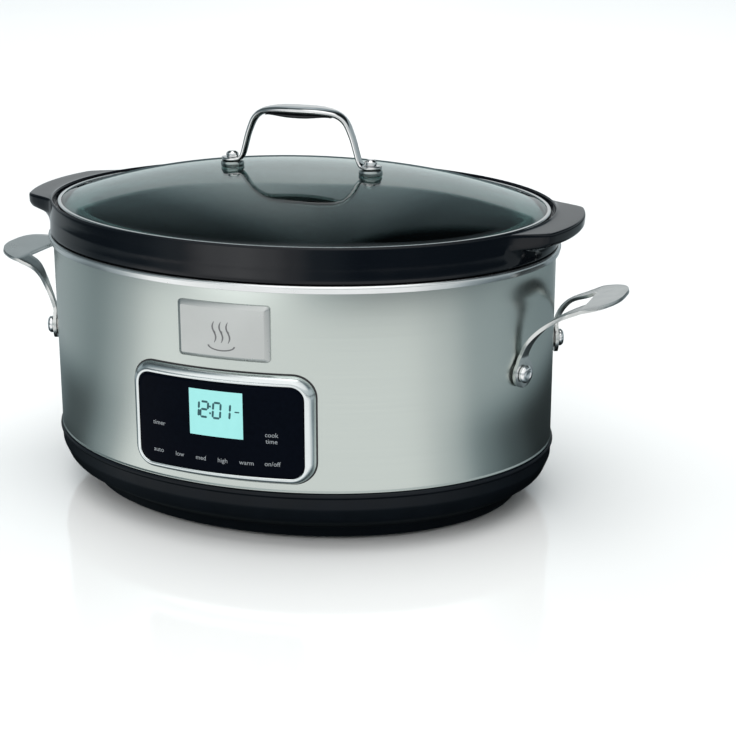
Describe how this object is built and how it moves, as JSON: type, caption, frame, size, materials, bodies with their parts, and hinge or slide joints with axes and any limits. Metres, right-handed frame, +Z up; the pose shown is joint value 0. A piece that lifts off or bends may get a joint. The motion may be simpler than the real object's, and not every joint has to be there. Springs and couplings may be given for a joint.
{
  "type": "slow cooker",
  "caption": "Oval slow cooker: steel wrap with a touch panel, lift-out black stoneware crock, domed glass lid and strap handles.",
  "frame": {"origin": "centre of the footprint, on the surface the cooker stands on", "axes": "+X along the long axis, to the right of someone facing the control panel; the panel faces -Y; +Z up"},
  "size_m": [0.45, 0.2914, 0.2619],
  "materials": {
    "brushed_steel": "fine brushed sheet",
    "polished_steel": "polished",
    "silver_trim": "satin silver",
    "chrome": "bright",
    "zinc_steel": "plain zinc plated",
    "aluminium": "plain sheet",
    "black_glaze": "gloss black glaze",
    "smoked_glass": "clear tempered glass with a grey-green tint",
    "black_plastic": "satin black",
    "panel_glass": "gloss black",
    "display": "pale cyan, lit from behind",
    "backlight": "white diffuser",
    "board": "green circuit board",
    "component": "dark moulded case",
    "copper": "plain copper alloy",
    "mica": "mica heater band",
    "rubber": "matte black"
  },
  "bodies": {
    "base": {"badge_emblem": "chrome", "badge_plate": "polished_steel", "base_skirt": "black_plastic", "bottom_cover": "black_plastic", "control_bezel": "chrome", "control_board": "board", "control_carrier": "black_plastic", "control_window": "panel_glass", "cord_gland": "rubber", "foot_front_left": "rubber", "foot_front_right": "rubber", "foot_rear_left": "rubber", "foot_rear_right": "rubber", "foot_screw_front_left": "zinc_steel", "foot_screw_front_right": "zinc_steel", "foot_screw_rear_left": "zinc_steel", "foot_screw_rear_right": "zinc_steel", "handle_nut_left_front": "zinc_steel", "handle_nut_left_rear": "zinc_steel", "handle_nut_right_front": "zinc_steel", "handle_nut_right_rear": "zinc_steel", "handle_stud_left_front": "chrome", "handle_stud_left_rear": "chrome", "handle_stud_right_front": "chrome", "handle_stud_right_rear": "chrome", "handle_washer_left_front": "zinc_steel", "handle_washer_left_rear": "zinc_steel", "handle_washer_right_front": "zinc_steel", "handle_washer_right_rear": "zinc_steel", "heat_shield": "aluminium", "heater_band": "mica", "heater_strap": "zinc_steel", "heating_liner": "aluminium", "lcd_backlight": "backlight", "lcd_display": "display", "outer_housing": "brushed_steel", "power_board": "board", "relay": "component", "rim_ring": "silver_trim", "sensor_spring": "zinc_steel", "side_handle_left": "polished_steel", "side_handle_right": "polished_steel", "terminal_block": "black_plastic", "thermal_fuse": "copper", "thermal_sensor": "aluminium", "tie_bolt": "zinc_steel", "tie_nut": "zinc_steel", "tie_washer": "zinc_steel", "transformer": "component"},
    "crock": {"crock": "black_glaze"},
    "lid": {"lid_boss_left": "polished_steel", "lid_boss_right": "polished_steel", "lid_glass": "smoked_glass", "lid_handle": "polished_steel", "lid_nut_left": "polished_steel", "lid_nut_right": "polished_steel", "lid_rim": "polished_steel", "lid_screw_left": "chrome", "lid_screw_right": "chrome"}
  },
  "joints": [
    {"name": "crock_lift", "type": "slide", "parent": "base", "child": "crock", "axis": [0, 0, 1], "range_m": [0, 0.16]},
    {"name": "lid_lift", "type": "slide", "parent": "crock", "child": "lid", "axis": [0, 0, 1], "range_m": [0, 0.12]}
  ]
}
